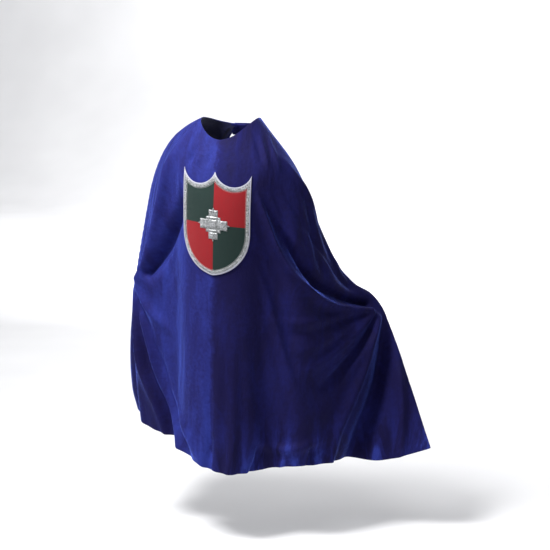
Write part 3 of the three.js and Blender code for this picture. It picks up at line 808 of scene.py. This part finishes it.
def sheet_mesh(name, top, out, thickness, material, uv, flat_side=None):
    """A closed sheet: outer points, the same points thickness inside, and a rounded rim.
    flat_side is the side column that meets another sheet, and stays square."""
    nu, nv = top.shape[:2]
    thickness = np.broadcast_to(thickness, (nu, nv))
    inner = top - out * thickness[..., None]
    rim = rim_of(nu, nv)
    flat_column = {None: -1, "first": 0, "last": nu - 1}[flat_side]
    rings = []
    for turn in RIM_TURNS:
        ring = []
        for i, j in rim:
            away = top[i, j] - top[min(max(i, 1), nu - 2), min(max(j, 1), nv - 2)]
            away = away - out[i, j] * (away @ out[i, j])
            away /= max(np.linalg.norm(away), 1e-9)
            radius = thickness[i, j] / 2
            swell = 0 if i == flat_column else math.sin(turn)
            sink = out[i, j] * radius * (1 - math.cos(turn))
            ring.append(top[i, j] - sink + away * radius * swell)
        rings.append(ring)
    count, total = nu * nv, len(rim)
    vertices = np.concatenate([layer.reshape(-1, 3) for layer in (top, inner, np.array(rings))])
    flat_uv = uv.reshape(-1, 2)
    rim_uv = np.array([uv[i, j] for i, j in rim])
    all_uv = np.concatenate([flat_uv, flat_uv] + [rim_uv] * len(rings))
    index = np.arange(count).reshape(nu, nv)
    faces = grid_faces(index)
    faces = np.concatenate([faces, faces[:, ::-1] + count])
    edge = [index[i, j] for i, j in rim]
    loops = [edge] + [[2 * count + r * total + k for k in range(total)] for r in range(len(rings))]
    loops.append([count + k for k in edge])
    walls, sharp = [], []
    for upper, lower in zip(loops, loops[1:]):
        walls += [(upper[k], upper[m], lower[m], lower[k]) for k, m in round_pairs(total)]
    for k, m in round_pairs(total):
        if rim[k][0] == flat_column and rim[m][0] == flat_column:
            sharp += [(edge[k], edge[m]), (loops[-1][k], loops[-1][m])]
    return link_mesh(name, vertices, np.concatenate([faces, np.array(walls)]), material, all_uv, sharp)


def fix_normals(piece):
    bm = bmesh.new()
    bm.from_mesh(piece.data)
    bmesh.ops.recalc_face_normals(bm, faces=bm.faces)
    bm.to_mesh(piece.data)
    bm.free()


def outward_mesh(*arguments):
    """link_mesh with every face turned outwards."""
    piece = link_mesh(*arguments)
    fix_normals(piece)
    return piece


def loft_mesh(name, rings, material):
    """A tube through rings of points; the ends close on their middles."""
    rings = np.asarray(rings, float)
    count, size = rings.shape[:2]
    faces = tube_faces(0, count, size)
    vertices = np.concatenate([rings.reshape(-1, 3), [rings[0].mean(0)], [rings[-1].mean(0)]])
    first, last = len(vertices) - 2, len(vertices) - 1
    for k, m in round_pairs(size):
        faces.append((first, m, k))
        faces.append((last, (count - 1) * size + k, (count - 1) * size + m))
    return outward_mesh(name, vertices, faces, material)


STITCH_SIDES = 6
STITCH_SHARES = np.array([0.0, 0.12, 0.5, 0.88, 1.0])
STITCH_GIRTH = np.array([0.35, 0.9, 1.0, 0.9, 0.35])


def stitches(name, path, normals, material, length=2.4 * MM, gap=0.9 * MM, radius=0.28 * MM):
    """A row of thread stitches along a line of points, as one mesh of small tapered beads."""
    run = np.concatenate([[0], np.cumsum(np.linalg.norm(np.diff(path, axis=0), axis=1))])
    count = max(1, int(run[-1] / (length + gap)))
    pitch = run[-1] / count
    starts = np.arange(count) * pitch + gap / 2
    vertices, faces = [], []
    for start in starts:
        at = start + STITCH_SHARES * (pitch - gap)
        spine = np.stack([np.interp(at, run, path[:, k]) for k in range(3)], 1)
        out = np.stack([np.interp(at, run, normals[:, k]) for k in range(3)], 1)
        out /= np.linalg.norm(out, axis=1, keepdims=True)
        along = np.gradient(spine, axis=0)
        along /= np.maximum(np.linalg.norm(along, axis=1, keepdims=True), 1e-12)
        side = np.cross(along, out)
        first = len(vertices)
        for p, o, w, g in zip(spine, out, side, STITCH_GIRTH):
            for k in range(STITCH_SIDES):
                turn = math.tau * k / STITCH_SIDES
                vertices.append(p + (o * math.cos(turn) * 0.8 + w * math.sin(turn)) * radius * g)
        faces += tube_faces(first, len(STITCH_SHARES), STITCH_SIDES)
        faces.append(tuple(range(first, first + STITCH_SIDES)))
        faces.append(tuple(range(len(vertices) - 1, len(vertices) - 1 - STITCH_SIDES, -1)))
    return outward_mesh(name, vertices, faces, material)


def patch_mesh(name, place, low, high, material, uv):
    """A layer of the shield patch over a grid of patch coordinates."""
    s, h = uv[..., 0], uv[..., 1]
    top = place(s, h, high)
    out = top - place(s, h, low)
    out /= np.linalg.norm(out, axis=-1, keepdims=True)
    return sheet_mesh(name, top, out, high - low, material, uv)


def eased_shares(count):
    """Shares from 0 to 1 that lie closer together near 1."""
    even = np.linspace(0, 1, count + 1)
    return (np.sin(np.linspace(0, math.pi / 2, count + 1)) + even) / 2


PATCH_COLUMNS = 36
PATCH_ROWS = 60


def half_patch(side, inner, outer, top, bottom):
    """Patch coordinates over one half of an outline, from distance inner to outer."""
    s = inner + (outer - inner) * eased_shares(PATCH_COLUMNS)
    t = np.linspace(0, 1, PATCH_ROWS + 1)
    h = top(s)[:, None] * (1 - t) + bottom(s)[:, None] * t
    grid = np.stack([np.broadcast_to(side * s[:, None], h.shape), h], -1)
    return grid if side > 0 else grid[::-1]


def ring_mesh(name, place, insets, lifts, material):
    """A band that follows the shield outline: one loop of points for each inset and lift."""
    loops = [outline_loop(inset) for inset in insets]
    count = len(loops[0])
    vertices = np.concatenate([
        place(loop[:, 0], loop[:, 1], lift) for loop, lift in zip(loops, lifts)])
    faces = [(r * count + k, r * count + m, q * count + m, q * count + k)
             for r, q in round_pairs(len(loops)) for k, m in round_pairs(count)]
    return outward_mesh(name, vertices, faces, material, np.concatenate(loops))


CROSS_REACH = 27 * MM
CROSS_ARM = 9 * MM
CROSS_CORE = 14.5 * MM
CROSS_SPIKE = 32 * MM
CROSS_CELL = 0.6 * MM
CROSS_HALF_CELLS = 55


def cross_depth(s, h):
    """How far a point is inside the stepped cross, negative outside, with small spikes."""
    s, h = np.abs(s), np.abs(h)
    inside = np.full_like(s, -1.0)
    for half_s, half_h in ((CROSS_REACH, CROSS_ARM), (CROSS_ARM, CROSS_REACH), (CROSS_CORE, CROSS_CORE)):
        inside = np.maximum(inside, np.minimum(half_s - s, half_h - h))
    for along, across in ((s, h), (h, s)):
        spikes = np.minimum((CROSS_SPIKE - along) * 0.42 - across, CROSS_SPIKE - along)
        inside = np.maximum(inside, np.where(along > CROSS_REACH * 0.9, spikes, -1))
    return inside


def cross_mesh(name, place, low, high, material):
    """The stepped cross as a pillowed, creased relief cut from a fine grid."""
    axis = np.arange(-CROSS_HALF_CELLS, CROSS_HALF_CELLS + 1) * CROSS_CELL
    s, h = np.meshgrid(axis, axis, indexing="ij")
    inside = cross_depth(s, h)
    keep_point = inside > -0.45 * CROSS_CELL
    keep = keep_point[:-1, :-1] & keep_point[1:, :-1] & keep_point[:-1, 1:] & keep_point[1:, 1:]
    edge = np.clip(inside / (2.2 * MM), 0, 1)
    crease = np.ones_like(s)
    for line in (CROSS_ARM, CROSS_CORE):
        for value in (np.abs(s), np.abs(h)):
            crease = np.minimum(crease, np.clip(np.abs(value - line) / (1.6 * MM), 0.1, 1))
    pillow = (1 - (1 - edge) ** 2) * (0.4 + 0.6 * crease)
    crinkle_s = np.sin(s * 2100 + np.sin(h * 900) * 2)
    crinkle_h = np.sin(h * 2300 + np.sin(s * 1100) * 2)
    lift = low + (high - low) * pillow + 0.16 * MM * crinkle_s * crinkle_h * edge
    used = np.zeros_like(keep_point)
    for di in (0, 1):
        for dj in (0, 1):
            used[di:di + keep.shape[0], dj:dj + keep.shape[1]] |= keep
    index = -np.ones(used.shape, int)
    index[used] = np.arange(used.sum())
    top = place(s[used], DIVISION + h[used], lift[used])
    base = place(s[used], DIVISION + h[used], low - 0.2 * MM)
    count = len(top)
    faces = []
    edges = {}
    for i, j in np.argwhere(keep):
        a, b, c, d = index[i, j], index[i, j + 1], index[i + 1, j + 1], index[i + 1, j]
        faces.append((a, b, c, d))
        faces.append((count + d, count + c, count + b, count + a))
        edges.update(dict.fromkeys([(a, b), (b, c), (c, d), (d, a)]))
    faces += [(q, p, count + p, count + q) for p, q in edges if (q, p) not in edges]
    uv = np.stack([s[used], h[used]], 1)
    return outward_mesh(name, np.concatenate([top, base]), faces, material, np.concatenate([uv, uv]))


# ------------------------------------------------------------------ neck closure and label

NECK_FRONT = Vector((0, 57.5 * MM, -16 * MM))
SLOPE = math.radians(27)
TAB_HALF = 12 * MM


def on_closure(x, y, z):
    """A point of the closure plane: x across, y down the slope, z out of the slope."""
    x, y, z = np.broadcast_arrays(x, y, z)
    down = np.array([0, math.sin(SLOPE), -math.cos(SLOPE)])
    out = np.array([0, math.cos(SLOPE), math.sin(SLOPE)])
    return (np.array(NECK_FRONT) + x[..., None] * np.array([1.0, 0, 0])
            + y[..., None] * down + z[..., None] * out)


def strap(name, left, right, low, high, half, material, corners, crown=0.25 * MM, steps=36):
    """A flat sewn tab: crowned faces, rounded edges and corners, cut across its length."""
    thick = high - low
    rings = []
    turn = np.linspace(0, math.pi, steps + 1)
    xs = left + (right - left) * (1 - np.cos(turn)) / 2
    for x in xs:
        inset = 0.0
        for end, radius in ((x - left, corners[0]), (right - x, corners[1])):
            if end < radius:
                inset = max(inset, radius - math.sqrt(max(radius ** 2 - (radius - end) ** 2, 0)))
        reach = max(half - inset, 0.4 * thick)
        fade = min(1, min(x - left, right - x) / (0.5 * thick) + 0.25)
        ring = []
        for side in (1, -1):
            for share in np.linspace(-1, 1, 13):
                y = share * side * reach
                edge = math.sqrt(max(1 - min(1, abs(share)) ** 14, 0))
                rise = side * (thick / 2 + crown * (1 - share ** 2)) * edge * fade
                ring.append((x, TAB_HALF + y, (low + high) / 2 + rise))
        rings.append(on_closure(*np.array(ring).T))
    return loft_mesh(name, rings, material)


NUB_PITCH = 1.1 * MM
NUB_SIDES = 5
NUB_RINGS = ((0, 1), (0.7, 0.8), (1, 0.45))
STRIP_FACE = (-12 * MM, 8.4 * MM, 4.8 * MM, 19.2 * MM)


def nubs(name, level, rise, girth, lean, material):
    """The face of a hook or loop strip: rows of small bristles or loops. A positive rise is
    outwards, and lean gives how far the nub in row i and place j leans."""
    left, right, bottom, top = STRIP_FACE
    vertices, faces = [], []
    for i in range(int((right - left) / NUB_PITCH)):
        for j in range(int((top - bottom) / NUB_PITCH)):
            x = left + (i + 0.5 + 0.25 * (j % 2)) * NUB_PITCH
            y = bottom + (j + 0.5) * NUB_PITCH
            first = len(vertices)
            for share, width in NUB_RINGS:
                for k in range(NUB_SIDES):
                    turn = math.tau * k / NUB_SIDES
                    vertices.append((
                        x + girth * width * math.cos(turn) + lean(i, j) * share ** 2,
                        y + girth * width * math.sin(turn),
                        level + rise * share,
                    ))
            faces += tube_faces(first, len(NUB_RINGS), NUB_SIDES)
            faces.append(tuple(range(len(vertices) - NUB_SIDES, len(vertices))))
            faces.append(tuple(range(first + NUB_SIDES - 1, first - 1, -1)))
    return outward_mesh(name, on_closure(*np.array(vertices).T), faces, material)


def box_stitches(name, left, right, material):
    """Thread stitches round a rectangle on the closure flap."""
    bottom, top, level = 3.5 * MM, 20.5 * MM, 7.0 * MM
    corners = [(left, bottom), (right, bottom), (right, top), (left, top), (left, bottom)]
    sides = [np.linspace(a, b, 20, endpoint=False) for a, b in zip(corners, corners[1:])]
    path = np.concatenate(sides + [corners[:1]])
    places = on_closure(path[:, 0], path[:, 1], np.full(len(path), level))
    out = np.tile(on_closure(0.0, 0.0, 1.0) - on_closure(0.0, 0.0, 0.0), (len(path), 1))
    return stitches(name, places, out, material, length=1.9 * MM, gap=0.7 * MM, radius=0.22 * MM)


# ------------------------------------------------------------------ build


def fasten(piece, slot, body, *nodes):
    """Hangs a piece from its body and hides the CAD nodes that it stands for; slot is not used."""
    if nodes:
        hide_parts(*nodes)
    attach(piece, body)


def run_along(points, axis):
    """Distance along each line of a grid from its first point."""
    steps = np.linalg.norm(np.diff(points, axis=axis), axis=2)
    start = np.zeros_like(np.take(steps, [0], axis=axis))
    return np.concatenate([start, np.cumsum(steps, axis=axis)], axis=axis)


make_camera()
make_stage()

velour = velour_material()
satin = woven_material("satin_navy", (0.004, 0.005, 0.020), (0.010, 0.012, 0.048), 0.36, 0.0007,
                       gloss=0.45, wear=0.1)
facing_cloth = woven_material("facing_navy", (0.008, 0.009, 0.04), (0.022, 0.026, 0.11), 0.6, 0.0009,
                              sheen=0.2)
red = woven_material("patch_red", (0.19, 0.003, 0.006), (0.28, 0.007, 0.012), 0.75, 0.0008, sheen=0.1)
green = woven_material("patch_green", (0.003, 0.014, 0.012), (0.008, 0.026, 0.022), 0.7, 0.0008,
                       sheen=0.1)
grey = woven_material("patch_backing", (0.07, 0.07, 0.08), (0.14, 0.14, 0.15), 0.85, 0.0012)
silver = glitter_material("silver_glitter", (0.045, 0.05, 0.05), (0.25, 0.26, 0.26))
edge_thread = thread_material("silver_edge_thread", (0.5, 0.5, 0.6))
blue_thread = thread_material("blue_thread", (0.03, 0.035, 0.2))
pale_thread = thread_material("pale_thread", (0.6, 0.6, 0.6))
tape = woven_material("tape_navy", (0.006, 0.006, 0.02), (0.02, 0.022, 0.06), 0.7, 0.0012)
label_cloth = woven_material("label_white", (0.62, 0.62, 0.58), (0.82, 0.82, 0.79), 0.55, 0.0006,
                             wear=0.15)

# The cloth surface, and where it must stay calm under the patch.
CLOTH_LENGTH = 0.62
EASING_PASSES = 90
CALM_FROM, CALM_TO = 2 * MM, 22 * MM
base = cloth_base()
nu, nv = base.shape[:2]
from_centre = run_along(base, 0)
from_centre = from_centre - from_centre[CENTRE:CENTRE + 1]
below_tips = -base[..., 2] - from_centre * SHIELD_SKEW + SHIELD_TOP
beside_patch = np.maximum(np.abs(from_centre) - SHIELD_WIDTH / 2, 0)
past_patch = np.maximum(np.maximum(-below_tips, below_tips - SHIELD_HEIGHT), 0)
calm = 1 - smoothstep(np.hypot(beside_patch, past_patch), CALM_FROM, CALM_TO)
eased = smoothed(base, EASING_PASSES)
cloth = smoothed(add_folds(eased, grid_normals(eased), calm), 2)
cloth = settled(cloth, calm)
outward = grid_normals(cloth)
share_down = np.broadcast_to(np.linspace(0, 1, nv), (nu, nv))
cloth_uv = np.stack([from_centre, -share_down * CLOTH_LENGTH], -1)

# Shell and lining halves. The shell is thicker where its edge is turned in. A cut is the flat
# size of one half and its area.
SHELL_THICKNESS = 1.6 * MM
HEM_EXTRA = 1.5 * MM
HEM_WIDTH = 12 * MM
LINING_DEPTH = 1.9 * MM
LINING_THICKNESS = 0.6 * MM
LINING_INSET = 3
LINING_TOP = 2
SHELL_CUT = (0.51, 0.72), 0.262
LINING_CUT = (0.498, 0.708), 0.25
across_run = run_along(cloth, 0)
down_run = run_along(cloth, 1)
to_edge = np.minimum(np.minimum(across_run, across_run[-1:] - across_run), down_run[:, -1:] - down_run)
hem_step = 1 - smoothstep(to_edge, 0.7 * HEM_WIDTH, HEM_WIDTH)
lining_step = 1 - smoothstep(to_edge, 0.7 * HEM_WIDTH, 1.5 * HEM_WIDTH)
shell_thickness = SHELL_THICKNESS + HEM_EXTRA * hem_step
lining_top = cloth - outward * (LINING_DEPTH + HEM_EXTRA * lining_step)[..., None]
lining_rows = slice(LINING_TOP, nv - LINING_INSET)
halves = {
    "left": (slice(0, CENTRE + 1), slice(LINING_INSET, CENTRE + 1), -1, "last"),
    "right": (slice(CENTRE, nu), slice(CENTRE, nu - LINING_INSET), 1, "first"),
}
for side, (columns, lining_columns, sign, flat_side) in halves.items():
    shell = sheet_mesh(f"velour_{side}_half", cloth[columns], outward[columns], shell_thickness[columns],
                       velour, cloth_uv[columns], flat_side)
    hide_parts(f"shell_{side}_back", f"shell_{side}_wing")
    part = lining_columns, lining_rows
    lining = sheet_mesh(f"lining_{side}_half", lining_top[part], outward[part], LINING_THICKNESS, satin,
                        cloth_uv[part], flat_side)
    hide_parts(f"lining_{side}_back", f"lining_{side}_wing")
    for piece, (flat, area) in ((shell, SHELL_CUT), (lining, LINING_CUT)):
        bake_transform(piece)

# Neck facing: a strip inside the lining along the whole neckline.
FACING_ROWS = 9
FACING_DEPTH = 1.7 * MM
FACING_THICKNESS = 0.8 * MM
part = slice(1, nu - 1), slice(0, FACING_ROWS)
facing_depth = FACING_DEPTH + 1.1 * MM * smoothstep(down_run[part], 0, 8 * MM)
facing = sheet_mesh("neck_facing_strip", cloth[part] - outward[part] * facing_depth[..., None],
                    outward[part], FACING_THICKNESS, facing_cloth, cloth_uv[part])
fasten(facing, "facing", "cape_back", "neck_facing")

# Shield patch, from the cloth outwards.
BACKING_INSET = 1 * MM
QUARTER_INSET = BORDER_WIDTH - 1 * MM
HALF_JOIN = 0.15 * MM
shield = ShieldMap(cloth, outward)
half_width, top, bottom = shield_outline(BACKING_INSET)
left = half_patch(-1, 0, half_width, top, bottom)
right = half_patch(1, 0, half_width, top, bottom)
backing = patch_mesh("shield_backing_felt", shield.at, 0.1 * MM, 1.0 * MM, grey,
                     np.concatenate([left, right[1:]]))
fasten(backing, "felt_grey", "cape_back", "shield_backing")


def level_line(height):
    return lambda s: np.full_like(s, height)


half_width, top, bottom = shield_outline(QUARTER_INSET)
upper = top, level_line(DIVISION - HALF_JOIN)
lower = level_line(DIVISION + HALF_JOIN), bottom
for place, sign, edges, material, slot in (
    ("top_left", -1, upper, green, "felt_green"), ("top_right", 1, upper, red, "felt_red"),
    ("bottom_left", -1, lower, red, "felt_red"), ("bottom_right", 1, lower, green, "felt_green"),
):
    grid = half_patch(sign, HALF_JOIN, half_width, *edges)
    quarter = patch_mesh(f"shield_{place}_felt", shield.at, 1.1 * MM, 1.8 * MM, material, grid)
    fasten(quarter, slot, "cape_back", f"shield_quarter_{place}")
band_insets = np.array([1.2, 1.0, 1.6, 2.6, 4.2, 5.8, 7.0, 7.7, 8.0, 7.8]) * MM
band_lifts = np.array([1.1, 1.8, 2.3, 2.55, 2.7, 2.65, 2.5, 2.3, 1.95, 1.3]) * MM
border = ring_mesh("shield_border_band", shield.at, band_insets, band_lifts, silver)
fasten(border, "lame", "cape_back", "shield_border")
cord_insets = np.array([0.5, 0.0, -0.2, 0.1, 0.8, 1.6, 2.1, 2.2]) * MM
cord_lifts = np.array([0.2, 0.7, 1.5, 2.3, 2.75, 2.85, 2.7, 1.9]) * MM
edge_cord = ring_mesh("shield_edge_cord", shield.at, cord_insets, cord_lifts, edge_thread)
fasten(edge_cord, "lame", "cape_back")
cross = cross_mesh("shield_cross_relief", shield.at, 2.0 * MM, 3.6 * MM, silver)
fasten(cross, "lame", "cape_back", "shield_cross")

# A row of stitches just inside the border.
STITCH_INSET = 9.2 * MM
STITCH_LIFT = 1.85 * MM
loop = outline_loop(STITCH_INSET)
loop = np.concatenate([loop, loop[:1]])
stitch_path = shield.at(loop[:, 0], loop[:, 1], STITCH_LIFT)
stitch_out = stitch_path - shield.at(loop[:, 0], loop[:, 1], STITCH_LIFT - 1 * MM)
fasten(stitches("shield_inner_stitches", stitch_path, stitch_out, pale_thread), "lame", "cape_back")

# Neck closure, from the lining outwards.
TAPE_HALF = 8 * MM
TAPE_CORNERS = (1.5 * MM, 1.5 * MM)
under = strap("closure_under_tab_velour", -23.6 * MM, 10.4 * MM, 0.3 * MM, 1.9 * MM, TAB_HALF, velour,
              corners=(0.6 * MM, 5 * MM))
fasten(under, "velour", "cape_back", "closure_under_tab")
loop_tape = strap("closure_loop_tape", -12.8 * MM, 9.2 * MM, 2.2 * MM, 3.0 * MM, TAPE_HALF, tape,
                  corners=TAPE_CORNERS, crown=0)
fasten(loop_tape, "loop_tape", "cape_back", "closure_loop_strip")
loop_pile = nubs("closure_loop_pile", 2.95 * MM, 0.38 * MM, 0.3 * MM,
                 lambda i, j: 0.15 * MM * math.sin(7 * i + 5 * j), tape)
fasten(loop_pile, "loop_tape", "cape_back")
hook_tape = strap("closure_hook_tape", -12.8 * MM, 9.2 * MM, 4.1 * MM, 4.9 * MM, TAPE_HALF, tape,
                  corners=TAPE_CORNERS, crown=0)
fasten(hook_tape, "hook_tape", "closure_flap", "closure_hook_strip")
bristles = nubs("closure_hook_bristles", 4.15 * MM, -0.5 * MM, 0.14 * MM, lambda i, j: 0.25 * MM, tape)
fasten(bristles, "hook_tape", "closure_flap")
flap = strap("closure_flap_velour", -20.3 * MM, 23.3 * MM, 5.2 * MM, 6.8 * MM, TAB_HALF, velour,
             corners=(5 * MM, 0.6 * MM), steps=60)
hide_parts("closure_flap", "closure_flap_sewn_end")
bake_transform(flap)
fasten(box_stitches("closure_flap_stitches", -13.5 * MM, 7.5 * MM, blue_thread),
       "velour", "closure_flap")
fasten(box_stitches("closure_sewn_end_stitches", 16.6 * MM, 21.6 * MM, blue_thread),
       "velour", "cape_back")

# Label, hanging from the neck seam with a slight curl.
LABEL_CELLS = (18, 24)
LABEL_THICKNESS = 0.5 * MM
low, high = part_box("care_label")
label_u, label_v = np.meshgrid(*(np.linspace(0, 1, cells + 1) for cells in LABEL_CELLS), indexing="ij")
curl = 1.1 * MM * np.sin(label_v * 2.6) * (1 - 0.5 * label_u) + 0.5 * MM * np.cos(label_u * math.pi)
label_top = np.stack([
    low[0] + (high[0] - low[0]) * label_u,
    (low[1] + high[1]) / 2 + curl * label_v,
    high[2] - (high[2] - low[2]) * label_v,
], -1)
label = sheet_mesh("care_label_cloth", label_top, grid_normals(label_top), LABEL_THICKNESS, label_cloth,
                   np.stack([label_u * 0.03, -label_v * 0.038], -1))
fix_normals(label)
fasten(label, "label", "care_label", "care_label")
